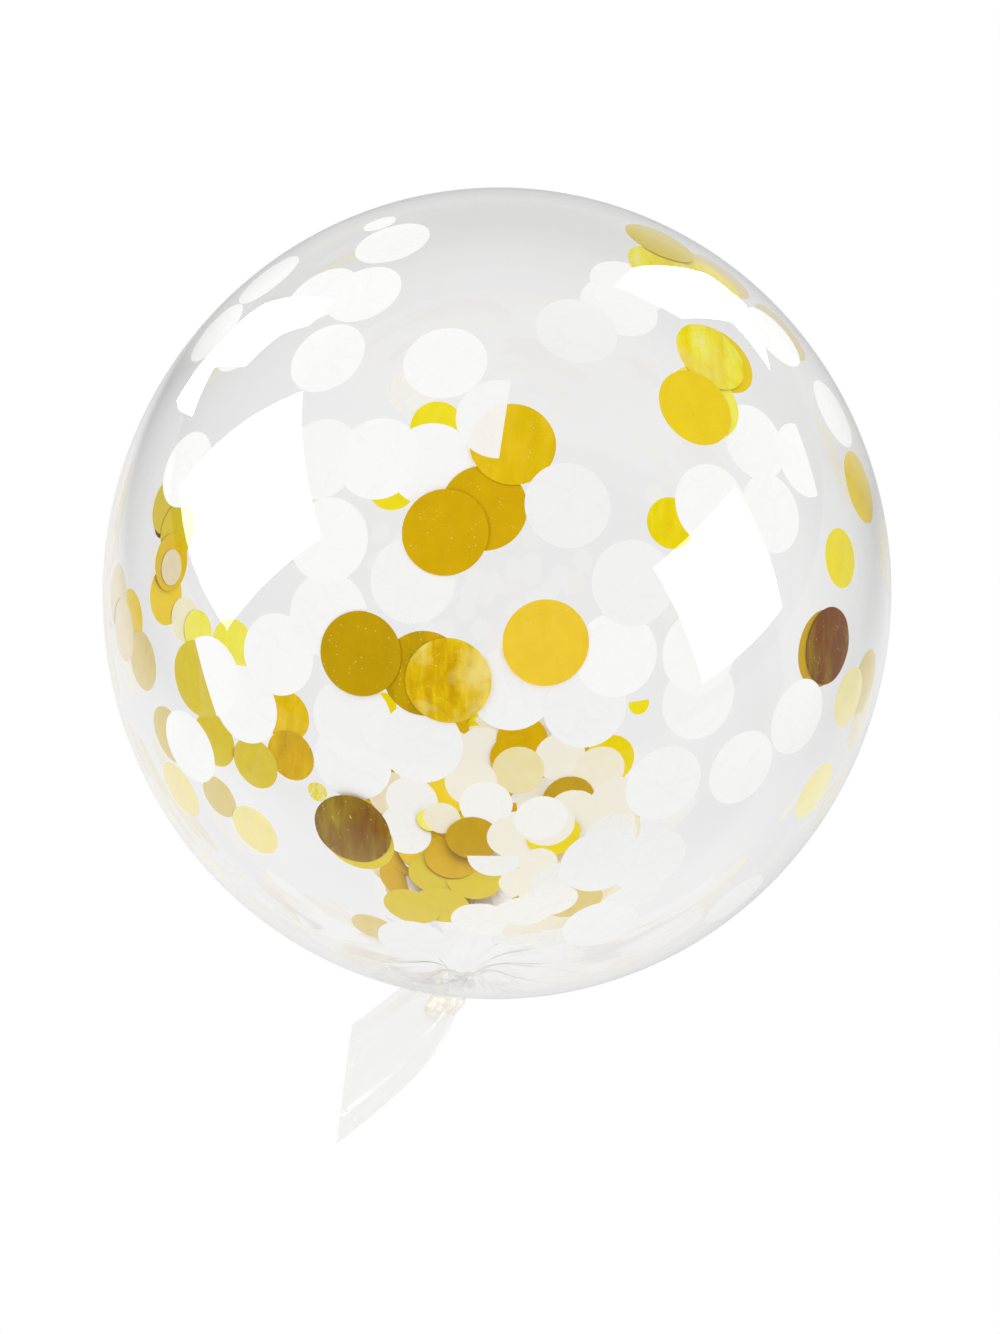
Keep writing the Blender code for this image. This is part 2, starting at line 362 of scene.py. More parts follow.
def goldFoil():
    # Lacquered foil: a tone for each disc, clouds, painted glints as fine pale specks, and folds on the creased discs,
    # which also get painted sheen patches and painted light and dark streaks
    material, tree, shader = newMaterial("gold_foil")
    shader.inputs["Metallic"].default_value = foil["metallic"]
    shader.inputs["Specular IOR Level"].default_value = foil["specular"]
    spot = addNode(tree, "ShaderNodeUVMap", uv_map="disc")
    tone = addNode(tree, "ShaderNodeAttribute", attribute_name="tone")
    ramp = addNode(tree, "ShaderNodeValToRGB")
    stops = ramp.color_ramp.elements
    while len(stops) < len(foilTones):
        stops.new(0.5)
    for number, colour in enumerate(foilTones.values()):
        stops[number].position = number * toneStep
        stops[number].color = colour
    clouds = addNode(tree, "ShaderNodeTexNoise", Scale=foil["cloudScale"], Detail=6.0, Roughness=0.65)
    shade = addNode(tree, "ShaderNodeMapRange")
    shade.inputs["To Min"].default_value = 0.88
    shade.inputs["To Max"].default_value = 1.10
    tinted = addNode(tree, "ShaderNodeVectorMath", operation="SCALE")
    # painted glints: tiny pale specks standing for light caught by the foil
    cells = addNode(tree, "ShaderNodeTexVoronoi", Scale=foil["paintedGlintScale"], Randomness=1.0)
    paintedGlints = addNode(tree, "ShaderNodeMapRange")
    paintedGlints.inputs["From Min"].default_value = foil["paintedGlintSize"]
    paintedGlints.inputs["From Max"].default_value = foil["paintedGlintSize"] * 0.5
    some = addNode(tree, "ShaderNodeTexNoise", Scale=foil["paintedGlintScale"] * 0.4)
    chosen = addNode(tree, "ShaderNodeMapRange")
    chosen.inputs["From Min"].default_value = 0.48
    chosen.inputs["From Max"].default_value = 0.62
    paintedGlintMask = addNode(tree, "ShaderNodeMath", operation="MULTIPLY", use_clamp=True)
    # painted sheen: pale patches on the creased discs, standing for light on the folds
    paintedSheenPatches = addNode(tree, "ShaderNodeTexNoise", Scale=1.5, Detail=3.0)
    wide = addNode(tree, "ShaderNodeMapRange")
    wide.inputs["From Min"].default_value = 0.48
    wide.inputs["From Max"].default_value = 0.66
    wide.inputs["To Max"].default_value = 0.8
    paintedCreaseSheen = addNode(tree, "ShaderNodeMapRange")
    paintedCreaseSheen.inputs["From Min"].default_value = 0.4
    pale = addNode(tree, "ShaderNodeMath", operation="MULTIPLY")
    either = addNode(tree, "ShaderNodeMath", operation="MAXIMUM")
    withPaintedGlintsAndSheen = addNode(tree, "ShaderNodeMix", data_type="RGBA")
    withPaintedGlintsAndSheen.inputs["B"].default_value = foil["paintedGlintColour"]
    rough = addNode(tree, "ShaderNodeMapRange")
    rough.inputs["To Min"].default_value = foil["roughness"] * 0.7
    rough.inputs["To Max"].default_value = foil["roughness"] * 1.3
    crinkle = addNode(tree, "ShaderNodeAttribute", attribute_name="crinkle")
    folds = groupNode(tree, creases, Scale=foil["creaseScale"])
    height = addNode(tree, "ShaderNodeMath", operation="MULTIPLY")
    bump = addNode(tree, "ShaderNodeBump", Strength=0.8, Distance=foil["creaseDistance"])
    stretch = addNode(tree, "ShaderNodeMapping")
    stretch.inputs["Scale"].default_value = (2.6, 0.6, 1.0)
    # painted light and shade: on creased discs the tone shifts along streaks towards lighter and darker foil tones
    streaks = addNode(tree, "ShaderNodeTexNoise", Scale=1.6, Detail=4.0, Roughness=0.6)
    centred = addNode(tree, "ShaderNodeMath", operation="SUBTRACT")
    centred.inputs[1].default_value = 0.5
    paintedFoldShadeAndTone = addNode(tree, "ShaderNodeMath", operation="MULTIPLY_ADD")
    paintedFoldShadeAndTone.inputs[1].default_value = foil["paintedFoldShadeAndTone"]
    paintedFoldShadeAndTone.inputs[2].default_value = foil["leastDrift"]
    toneWithPaintedFoldShade = addNode(tree, "ShaderNodeMath", operation="MULTIPLY_ADD")
    links = tree.links
    links.new(spot.outputs["UV"], stretch.inputs["Vector"])
    links.new(stretch.outputs["Vector"], streaks.inputs["Vector"])
    links.new(streaks.outputs["Fac"], centred.inputs[0])
    links.new(crinkle.outputs["Fac"], paintedFoldShadeAndTone.inputs[0])
    links.new(centred.outputs["Value"], toneWithPaintedFoldShade.inputs[0])
    links.new(paintedFoldShadeAndTone.outputs["Value"], toneWithPaintedFoldShade.inputs[1])
    links.new(tone.outputs["Fac"], toneWithPaintedFoldShade.inputs[2])
    links.new(crinkle.outputs["Fac"], paintedCreaseSheen.inputs["Value"])
    for texture in (clouds, cells, some, paintedSheenPatches, folds):
        links.new(spot.outputs["UV"], texture.inputs["Vector"])
    links.new(toneWithPaintedFoldShade.outputs["Value"], ramp.inputs["Fac"])
    links.new(clouds.outputs["Fac"], shade.inputs["Value"])
    links.new(ramp.outputs["Color"], tinted.inputs["Vector"])
    links.new(shade.outputs["Result"], tinted.inputs["Scale"])
    links.new(cells.outputs["Distance"], paintedGlints.inputs["Value"])
    links.new(some.outputs["Fac"], chosen.inputs["Value"])
    links.new(paintedGlints.outputs["Result"], paintedGlintMask.inputs[0])
    links.new(chosen.outputs["Result"], paintedGlintMask.inputs[1])
    links.new(paintedSheenPatches.outputs["Fac"], wide.inputs["Value"])
    links.new(wide.outputs["Result"], pale.inputs[0])
    links.new(paintedCreaseSheen.outputs["Result"], pale.inputs[1])
    links.new(paintedGlintMask.outputs["Value"], either.inputs[0])
    links.new(pale.outputs["Value"], either.inputs[1])
    links.new(either.outputs["Value"], withPaintedGlintsAndSheen.inputs["Factor"])
    links.new(tinted.outputs["Vector"], withPaintedGlintsAndSheen.inputs["A"])
    links.new(withPaintedGlintsAndSheen.outputs["Result"], shader.inputs["Base Color"])
    links.new(clouds.outputs["Fac"], rough.inputs["Value"])
    links.new(rough.outputs["Result"], shader.inputs["Roughness"])
    links.new(folds.outputs["Height"], height.inputs[0])
    links.new(crinkle.outputs["Fac"], height.inputs[1])
    links.new(height.outputs["Value"], bump.inputs["Height"])
    links.new(bump.outputs["Normal"], shader.inputs["Normal"])
    return material


tissue = {
    "white": (0.985, 0.982, 0.975, 1),
    # painted shade: the darker white that tone mixes towards on discs that should look shaded
    "shaded": (0.89, 0.89, 0.885, 1),
    "fibreScale": 34.0,
    "creaseScale": 2.6,
    "creaseDistance": 0.0007,
    "seeThrough": 0.68,
    "paintedRimGlow": 0.20,  # painted glow: the discs give off light of their own, more of it towards the rim
}


def whiteTissue(name, alpha):
    # Thin matt paper with fine fibres and soft folds; tone mixes each disc from a painted shade colour up to the
    # whitest at tone 1, and the glow attribute adds a painted glow
    material, tree, shader = newMaterial(name)
    shader.inputs["Roughness"].default_value = 0.75
    shader.inputs["Specular IOR Level"].default_value = 0.2
    shader.inputs["Alpha"].default_value = alpha
    spot = addNode(tree, "ShaderNodeUVMap", uv_map="disc")
    tone = addNode(tree, "ShaderNodeAttribute", attribute_name="tone")
    fibres = addNode(tree, "ShaderNodeTexNoise", Scale=tissue["fibreScale"], Detail=5.0, Roughness=0.7)
    folds = groupNode(tree, creases, Scale=tissue["creaseScale"])
    shade = addNode(tree, "ShaderNodeMath", operation="MULTIPLY_ADD")
    shade.inputs[1].default_value = 0.30
    colour = addNode(tree, "ShaderNodeMix", data_type="RGBA", clamp_factor=True)
    colour.inputs["A"].default_value = tissue["shaded"]
    colour.inputs["B"].default_value = tissue["white"]
    lift = addNode(tree, "ShaderNodeMath", operation="SUBTRACT")
    lift.inputs[1].default_value = 0.15
    bump = addNode(tree, "ShaderNodeBump", Strength=0.5, Distance=tissue["creaseDistance"])
    # painted glow: the glow attribute makes the tissue give off light, more towards the rim
    glow = addNode(tree, "ShaderNodeAttribute", attribute_name="glow")
    shader.inputs["Emission Color"].default_value = (1, 1, 1, 1)
    links = tree.links
    links.new(glow.outputs["Fac"], shader.inputs["Emission Strength"])
    links.new(spot.outputs["UV"], fibres.inputs["Vector"])
    links.new(spot.outputs["UV"], folds.inputs["Vector"])
    links.new(fibres.outputs["Fac"], shade.inputs[0])
    links.new(tone.outputs["Fac"], shade.inputs[2])
    links.new(shade.outputs["Value"], lift.inputs[0])
    links.new(lift.outputs["Value"], colour.inputs["Factor"])
    links.new(colour.outputs["Result"], shader.inputs["Base Color"])
    links.new(folds.outputs["Height"], bump.inputs["Height"])
    links.new(bump.outputs["Normal"], shader.inputs["Normal"])
    return material


filmMaterial = clearFilm()
crumpledMaterial = creasedFilm("crumpled_film", crumpledFilm)
knottedMaterial = creasedFilm("knotted_film", knottedFilm)
foilMaterial = goldFoil()
tissueMaterial = whiteTissue("white_tissue", 1.0)
thinTissueMaterial = whiteTissue("thin_white_tissue", tissue["seeThrough"])
print("materials made")

# Film: the bubble, gathered to its neck

gather = {
    "radius": 0.034,
    "length": 0.018,
    "neckRadius": 0.0055,
    "neckLength": 0.014,
    "bands": 26,
    "pleats": 12,
    "pleatDepth": 0.0024,
    "pleatReach": 2.2,  # times the gather's radius
    "wrinkles": 17,
    "wrinkleDepth": 0.0010,
    "wrinkleReach": 0.130,
}
knot = {
    "width": 0.021,
    "strand": 0.004,
    "tilt": math.radians(24),
    "sway": 0.014,  # how far the loose end pulls the neck aside
    "steps": 72,
    "sides": 28,
    "creaseDepth": 0.0011,
}
tail = {
    "length": 0.087,
    "turn": math.radians(40),
    "rootWidth": 0.014,
    "rootOverlap": 0.006,
    "mouthWidth": 0.072,
    "tipEdgeOpening": 2.4,
    "cornerEdgeOpening": 0.9,
    "flatFrom": 0.24,
    "mouthSlant": math.radians(45),
    "mouthRoll": math.radians(11),
    "floorGap": 0.0006,
    "thickness": 0.0028,
    "pleats": 3,
    "pleatDepth": 0.0022,
    "bend": 0.010,
    "arch": 0.006,
    "rows": 110,
    "columns": 150,
    "filmThickness": 0.0003,
    "creaseDepth": 0.0011,
}
tailHeading = Vector((-math.sin(tail["turn"]), -math.cos(tail["turn"]), 0))


def lengthAt(radius):
    return halfLength * math.sqrt(1 - (radius / halfWidth)**2)


gatherStart = lengthAt(gather["radius"])
knotMiddle = gatherStart + gather["length"] + gather["neckLength"] / 2


def swayAt(along):
    share = max(0, along - gatherStart) / (knotMiddle - gatherStart)
    return tailHeading * knot["sway"] * share**2


def bubbleProfile():
    # From the crown down the outside and along the neck to its closed end, inside the knot
    points = []
    lastAngle = math.pi - math.asin(gather["radius"] / halfWidth)
    for band in range(bubble["bands"] + 1):
        angle = lastAngle * (band / bubble["bands"])**1.12  # finer at the crown
        radius = halfWidth * math.sin(angle)
        ring = math.exp(-((radius - bubble["markRadius"]) / 0.0011)**2) if angle < 1 else 0
        points.append((radius, halfLength * math.cos(angle) + bubble["markHeight"] * ring))
    for band in range(1, gather["bands"] + 1):
        share = band / gather["bands"]
        radius = gather["radius"] + (gather["neckRadius"] - gather["radius"]) * math.sin(share * math.pi / 2)
        points.append((radius, -gatherStart - gather["length"] * share**1.5))
    points.append((gather["neckRadius"], -knotMiddle))
    points.append((0, -knotMiddle))
    return points


def pleatAt(radius, angle):
    # Radial pleats round the neck and, further out, fine wrinkles that fade into the round
    if radius < gather["neckRadius"] * 1.01:
        return 0
    reach = gather["radius"] * gather["pleatReach"]
    if radius > gather["radius"]:
        strength = smoothStep((reach - radius) / (reach - gather["radius"]))
    else:
        strength = smoothStep((radius - gather["neckRadius"]) / (gather["radius"] - gather["neckRadius"]))
    lift = gather["pleatDepth"] * strength * math.cos(gather["pleats"] * angle) / 2
    out = max(0, 1 - radius / gather["wrinkleReach"])
    near = smoothStep(radius / gather["radius"] - 0.3)
    around = Vector((math.cos(angle), math.sin(angle), radius * 4)) * 1.7
    bend = noise.noise(around) * 5
    fold = max(0, math.sin(gather["wrinkles"] * angle + bend))**2
    fine = noise.noise(Vector((math.cos(angle) * 14, math.sin(angle) * 14, radius * 6)))
    return lift + gather["wrinkleDepth"] * out**1.5 * near * (fold + 0.5 * fine)


def layDown(bm):
    # From the neck's own axis, with the neck at -Z, to the way the balloon lies
    aside = [swayAt(-vert.co.z) for vert in bm.verts]
    turned = neckDirection.to_track_quat("-Z", "Y").to_matrix().to_4x4()
    bmesh.ops.transform(bm, matrix=Matrix.Translation(centre) @ turned, verts=bm.verts)
    for vert, shift in zip(bm.verts, aside):
        vert.co += shift


def makeBubble():
    bm = bmesh.new()
    row = [bm.verts.new((radius, 0, z)) for radius, z in bubbleProfile()]
    for upper, lower in zip(row, row[1:]):
        bm.edges.new((upper, lower))
    bmesh.ops.spin(bm, geom=bm.verts[:] + bm.edges[:], cent=(0, 0, 0), axis=(0, 0, 1),
                   angle=2 * math.pi, steps=bubble["steps"], use_merge=True)
    bmesh.ops.remove_doubles(bm, verts=bm.verts, dist=0.00002)
    bmesh.ops.recalc_face_normals(bm, faces=bm.faces)
    for vert in bm.verts:
        if vert.co.z < 0:
            vert.co.z -= pleatAt(math.hypot(vert.co.x, vert.co.y), math.atan2(vert.co.y, vert.co.x))
    layDown(bm)
    for vert in bm.verts:
        vert.co.z = max(0, vert.co.z)  # pressed flat where it rests
    piece = pieceFrom("clear_bubble", bm, filmMaterial)
    giveWall(piece, bubble["filmThickness"], -1)
    return piece


def makeKnot():
    # Two crumpled strands of film pulled tight over each other
    bm = bmesh.new()
    for lean, size, start in ((knot["tilt"], 1.0, 0.0), (-knot["tilt"] * 1.6, 0.86, 3.0)):
        strand = knot["strand"] * size
        loop = bmesh.ops.create_circle(bm, segments=knot["sides"], radius=strand)["verts"]
        upright = Matrix.Translation((knot["width"] / 2 - knot["strand"], 0, 0)) @ Matrix.Rotation(math.pi / 2, 4, "X")
        bmesh.ops.transform(bm, matrix=upright, verts=loop)
        rim = list({edge for vert in loop for edge in vert.link_edges})
        before = set(bm.verts) - set(loop)
        bmesh.ops.spin(bm, geom=loop + rim, cent=(0, 0, 0), axis=(0, 0, 1),
                       angle=2 * math.pi, steps=knot["steps"], use_merge=True)
        ring = [vert for vert in bm.verts if vert not in before]
        for vert in ring:
            spot = vert.co.normalized() * 3.1 + Vector((start, vert.co.z * 300, 0))
            fold = 1 - 2 * abs(noise.noise(spot * 1.6)) + 0.6 * noise.noise(vert.co * 420)
            vert.co += vert.co.normalized() * knot["creaseDepth"] * fold
        tilted = Matrix.Rotation(start, 4, "Z") @ Matrix.Rotation(lean, 4, "X")
        bmesh.ops.transform(bm, matrix=Matrix.Translation((0, 0, -knotMiddle)) @ tilted, verts=ring)
    bmesh.ops.recalc_face_normals(bm, faces=bm.faces)
    layDown(bm)
    return pieceFrom("knot_film", bm, knottedMaterial)


def tailSpine(share, start):
    end = start + tailHeading * tail["length"]
    end.z = math.sin(tail["mouthRoll"]) * tail["mouthWidth"] / 2 + tail["pleatDepth"] / 2 + tail["floorGap"]
    bend = start + neckDirection * tail["bend"]
    level = Vector((bend.x, bend.y, 0)) + tailHeading * tail["length"] * 0.2
    level.z = end.z + tail["arch"]
    rest = 1 - share
    return start * rest**3 + bend * 3 * rest**2 * share + level * 3 * rest * share**2 + end * share**3


def tailPoint(share, angle, start):
    # A point of the flattened tube: share runs from the knot to the mouth, angle goes round it
    step = 0.01
    along = tailSpine(min(share + step, 1), start) - tailSpine(max(share - step, 0), start)
    slant = -tail["turn"] - tail["mouthSlant"] * smoothStep(share)
    across = Vector((math.cos(slant), math.sin(slant), -math.tan(tail["mouthRoll"] * share))).normalized()
    normal = across.cross(along).normalized()
    if normal.z < 0:
        normal.negate()
    sideways = math.cos(angle)
    opening = tail["tipEdgeOpening"] if sideways > 0 else tail["cornerEdgeOpening"]
    opened = math.sin(share * math.pi / 2)**opening
    halfAcross = (tail["rootWidth"] + (tail["mouthWidth"] - tail["rootWidth"]) * opened) / 2
    pressed = smoothStep(share / tail["flatFrom"])
    halfThick = tail["rootWidth"] / 2 + (tail["thickness"] - tail["rootWidth"]) / 2 * pressed
    wave = math.sin(tail["pleats"] * math.pi * sideways + share) * tail["pleatDepth"] / 2
    sheet = 1.5 if math.sin(angle) > 0 else 0
    spot = Vector((sideways * 2.4, share * 1.5, sheet))
    ridge = 1 - 2.4 * abs(noise.noise(spot)) - 0.8 * abs(noise.noise(spot * 2.7))
    crease = tail["creaseDepth"] * ridge * smoothStep(share * 4) * abs(math.sin(angle))
    off = halfThick * math.sin(angle) + wave * smoothStep(share) + crease
    return tailSpine(share, start) + across * halfAcross * sideways + normal * off


def makeTail():
    # A grid wrapped round into the flattened, pleated tube of the balloon's loose end
    root = knotMiddle - tail["rootOverlap"]
    start = centre + neckDirection * root + swayAt(root)
    bm = bmesh.new()
    bmesh.ops.create_grid(bm, x_segments=tail["columns"], y_segments=tail["rows"], size=0.5)
    for vert in bm.verts:
        vert.co = tailPoint(vert.co.y + 0.5, (vert.co.x + 0.5) * 2 * math.pi, start)
        vert.co.z = max(tail["floorGap"], vert.co.z)
    bmesh.ops.remove_doubles(bm, verts=bm.verts, dist=0.00001)
    bmesh.ops.recalc_face_normals(bm, faces=bm.faces)
    piece = pieceFrom("tail_film", bm, crumpledMaterial)
    giveWall(piece, tail["filmThickness"], -1)
    return piece


filmPieces = [makeBubble(), makeKnot(), makeTail()]
for piece in filmPieces:
    piece.visible_shadow = False
    piece.visible_diffuse = False
    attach(piece, "root")
    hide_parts("clear_film_balloon")
print("film made")

# Confetti

confetti = {
    "radius": 0.019,
    "thickness": 0.0002,
    "gap": 0.0007,  # from the outside of the film to the middle of the first disc
    "layer": 0.00055,  # between discs that lie on each other
    "sides": 48,
    "rings": 4,
    "ripple": 0.00018,
}


def blankDisc(name, sides, rings):
    # A flat disc of radius 1, cut once and copied for every piece of confetti
    bm = bmesh.new()
    row = [bm.verts.new((ring / rings, 0, 0)) for ring in range(rings + 1)]
    for inner, outer in zip(row, row[1:]):
        bm.edges.new((inner, outer))
    bmesh.ops.spin(bm, geom=bm.verts[:] + bm.edges[:], cent=(0, 0, 0), axis=(0, 0, 1),
                   angle=2 * math.pi, steps=sides, use_merge=True)
    bmesh.ops.remove_doubles(bm, verts=bm.verts, dist=0.0001)
    bmesh.ops.recalc_face_normals(bm, faces=bm.faces)
    mesh = bpy.data.meshes.new(name)
    bm.to_mesh(mesh)
    bm.free()
    return mesh


fineBlank = blankDisc("fineBlank", confetti["sides"], confetti["rings"])
heapBlank = blankDisc("heapBlank", 24, 2)


def disc(x, y, kind="tissue", tone=None, far=False, size=1.0, cut=None, crinkle=0.0, face=0.0):
    # One piece of confetti at a point of the picture. cut is (degrees, share): the side that is
    # cut away and how far out. face turns a heap disc from lying on the wall towards the camera.
    return {"x": x, "y": y, "kind": kind, "tone": tone, "far": far, "size": size,
            "cut": cut, "crinkle": crinkle, "face": face}


def toneOf(spec, chance):
    if spec["kind"] == "gold":
        place = list(foilTones).index(spec["tone"] or "gold") + chance.uniform(-0.12, 0.12)
        return place * toneStep
    return (spec["tone"] if spec["tone"] is not None else 0.85) + chance.uniform(-0.12, 0.12)


class DiscStack:
    # Collects discs into one mesh for each kind of paper, and keeps them from sharing a place
    def __init__(self):
        self.meshes = {}
        self.laid = []
        self.chance = random.Random(7)

    def meshFor(self, kind):
        if kind not in self.meshes:
            bm = bmesh.new()
            self.meshes[kind] = bm
        return self.meshes[kind]

    def layersUnder(self, place, reach):
        levels = [level for spot, size, level in self.laid if (spot - place).length < (reach + size) * 0.97]
        return max(levels, default=-1) + 1

    def add(self, spec, blank, place, normal, bend):
        # bend(point) says where a point of the flat disc ends up
        radius = confetti["radius"] * spec["size"]
        right = viewTurn @ Vector((1, 0, 0))
        right = (right - normal * right.dot(normal)).normalized()
        if normal.dot(eye.location - place) < 0:
            up = right.cross(normal)
        else:
            up = normal.cross(right)
        one = bmesh.new()
        one.from_mesh(blank)
        if spec["cut"]:
            degrees, share = spec["cut"]
            side = Vector((math.cos(math.radians(degrees)), math.sin(math.radians(degrees)), 0))
            bmesh.ops.bisect_plane(one, geom=one.verts[:] + one.edges[:] + one.faces[:], dist=0.0001,
                                   plane_co=side * share, plane_no=side, clear_outer=True)
        toneLayer = one.verts.layers.float.new("tone")
        crinkleLayer = one.verts.layers.float.new("crinkle")
        paintedGlowLayer = one.verts.layers.float.new("glow")
        uvLayer = one.loops.layers.uv.new("disc")
        tone = toneOf(spec, self.chance)
        shift = Vector((self.chance.uniform(0, 40), self.chance.uniform(0, 40)))
        for face in one.faces:
            for loop in face.loops:
                loop[uvLayer].uv = Vector((loop.vert.co.x, loop.vert.co.y)) / 2 + shift
        for vert in one.verts:
            vert[toneLayer] = tone
            vert[crinkleLayer] = spec["crinkle"]
            flat = Vector((vert.co.x, vert.co.y, 0))
            wave = noise.noise(flat * 1.4 + Vector((shift.x, shift.y, 0)))
            lift = wave * (confetti["ripple"] + 0.0007 * spec["crinkle"])
            vert.co = bend(place + (right * flat.x + up * flat.y) * radius, lift)
            # painted glow, stronger towards the upper rim
            vert[paintedGlowLayer] = tissue["paintedRimGlow"] * rimShare(vert.co)
        mesh = bpy.data.meshes.new("one")
        one.to_mesh(mesh)
        one.free()
        self.meshFor(spec["kind"]).from_mesh(mesh)
        bpy.data.meshes.remove(mesh)

    def onWall(self, spec):
        # Clings to the film: bent to the wall, one layer further in for each disc it covers
        place = seenOnWall(spec["x"], spec["y"], spec["far"], confetti["gap"])
        radius = confetti["radius"] * spec["size"]
        level = self.layersUnder(place, radius)
        depth = confetti["gap"] + level * confetti["layer"]
        self.laid.append((place, radius, level))
        self.add(spec, fineBlank, place, wallNormal(place), lambda point, lift: toWall(point, depth + lift))

    def inHeap(self, spec, place, normal):
        radius = confetti["radius"] * spec["size"]

        def bend(point, lift):
            point = point + normal * lift * 3
            if depthOf(point) < confetti["gap"]:
                point = toWall(point, confetti["gap"])
            point.z = max(confetti["gap"], point.z)
            return point

        self.add(spec, heapBlank, place, normal, bend)

    def pieces(self, prefix, materials):
        made = []
        for kind, bm in self.meshes.items():
            piece = pieceFrom(prefix + kind, bm, materials[kind])
            giveWall(piece, confetti["thickness"], 0)
            made.append((kind, piece))
        return made


# Discs that cling to the film, from the wall inwards where they overlap
wallDiscs = {
    # the three gold discs left of the middle, with the half disc over them
    "halfOverGold": disc(499, 418, "thin", cut=(-8, 0.14)),
    "middleGold": disc(445, 532, "gold"),
    "whiteByGold": disc(568, 505, tone=0.35),
    "middleGoldTop": disc(513, 443, "gold", "bright", crinkle=0.15),
    "middleGoldBehind": disc(484, 507, "gold"),
    # the row of gold below the middle
    "rowGoldLeft": disc(360, 654, "gold", "dim"),
    "rowGoldCrinkled": disc(448, 681, "gold", "bright", crinkle=1.0),
    "rowGoldBehind": disc(424, 674, "gold", "dim", crinkle=0.35),
    "rowGoldRight": disc(546, 643, "gold", "orange"),
    # painted dark reflection on this foil disc
    "lowGold": disc(352, 830, "gold", "paintedReflectionOlive", crinkle=0.42),
    "lowGoldBehind": disc(358, 841, "gold", "moss", size=0.92),
    # upper right
    "upperGold": disc(696, 407, "gold", "amber"),
    "upperGoldCrinkled": disc(712, 355, "gold", "yellow", crinkle=0.7),
    "upperGoldBehind": disc(706, 400, "gold", "straw"),
    "upperGoldUnder": disc(723, 357, "gold", "amber"),
    "crownGoldTan": disc(660, 242, "gold", "moss"),
    "crownGoldBright": disc(664, 268, "gold", "yellow", crinkle=0.6),
    "crownGoldLong": disc(712, 279, "gold", "yellow", crinkle=0.2),
    "crownGoldRight": disc(722, 272, "gold", "tan"),
    "rimGold": disc(860, 487, "gold", "amber"),
    # painted dark reflection on this foil disc
    "rightDarkReflection": disc(829, 646, "gold", "paintedReflectionBrown", crinkle=0.38),
    "whiteRightRim": disc(798, 717, tone=0.4),
    "rightGold": disc(823, 649, "gold", "dim"),
    "rightPale": disc(849, 697, "gold", "pale", size=0.82),
    "rightTan": disc(866, 682, "gold", "tan", size=0.9),
    "rightBeige": disc(862, 722, "gold", "beige", size=0.9),
    "lowRightPale": disc(815, 791, "gold", "pale", size=0.85),
    "lowRightRim": disc(833, 795, "gold", "beige", size=0.9),
    # white tissue, top left
    "crownWhite": disc(392, 242, tone=0.9),
    "crownPink": disc(380, 224, size=0.45),
    "topWhite": disc(363, 293, tone=1.1),
    "topWhiteLeft": disc(320, 293, tone=1.1),
    "topWhiteLow": disc(327, 357, tone=1.1),
    "topWhiteFar": disc(268, 279, tone=0.6),
    "rimWhiteUpper": disc(216, 332, tone=1.1),
    "rimWhiteBand": disc(240, 346, size=0.8),
    "rimWhiteLeft": disc(186, 469, tone=1.0),
    # white tissue, middle
    "whiteOverCrescent": disc(445, 362, tone=1.0),
    "whiteLeft": disc(378, 458, tone=0.9),
    "whiteLeftUnder": disc(430, 462, tone=0.7),
    "whiteLeftFirst": disc(320, 458),
    "whiteLeftLow": disc(328, 540, tone=1.0),
    "whiteLeftLower": disc(327, 615),
    "whiteFaint": disc(412, 580, tone=0.6),
    "whiteTopRight": disc(577, 330, tone=0.3),
    "whiteTopRightOver": disc(620, 305, tone=0.45),
    "whiteTopHalf": disc(629, 284, tone=0.5),
    "whiteMiddleRight": disc(633, 583, tone=0.4),
    "whiteRight": disc(712, 505, tone=1.0),
    "whiteRightUp": disc(757, 440, tone=1.0),
    "whiteRightLow": disc(775, 512),
    "whiteRightHalf": disc(806, 458, tone=1.1, cut=(22, 0.25)),
    "whiteRimRight": disc(834, 413, tone=0.1),
    "whiteRimTop": disc(774, 336, tone=0.5),
    "rimGoldTop": disc(782, 331, "gold", "tan"),
    "whiteUnderOrange": disc(617, 655, tone=0.8),
    "whiteLowMiddle": disc(586, 708, tone=0.35),
    "whiteLowOver": disc(512, 690, tone=0.35),
    "whiteLowLeft": disc(420, 745, tone=0.2),
    "whiteLowLeftUnder": disc(350, 720, tone=0.45),
    "whiteLowLeftLast": disc(350, 765, tone=0.45),
    "whiteLowRight": disc(700, 652),
    "whiteLowRightUnder": disc(700, 700, tone=0.5),
    "whiteHeapSide": disc(664, 784, tone=0.4),
    "whiteRightBottom": disc(742, 768, tone=0.6),
    "whiteBottomPair": disc(600, 862, tone=-0.1),
    "whiteBottomPairRight": disc(650, 862, tone=0.0),
    "whiteBottomTilted": disc(600, 925, tone=0.2),
    "whiteBottomFront": disc(415, 942, tone=-0.1),
    "whiteBottomRim": disc(735, 900, tone=0.2),
    # white tissue, low on the left
    "whiteLeftCluster": disc(276, 655),
    "whiteLeftHalf": disc(210, 676, tone=1.1, cut=(200, 0.2)),
    "whiteLeftClusterLow": disc(242, 706),
    "clusterDark": disc(195, 680, "gold", "moss", crinkle=0.25),
    "whiteLeftRimLow": disc(189, 747, tone=0.3),
}

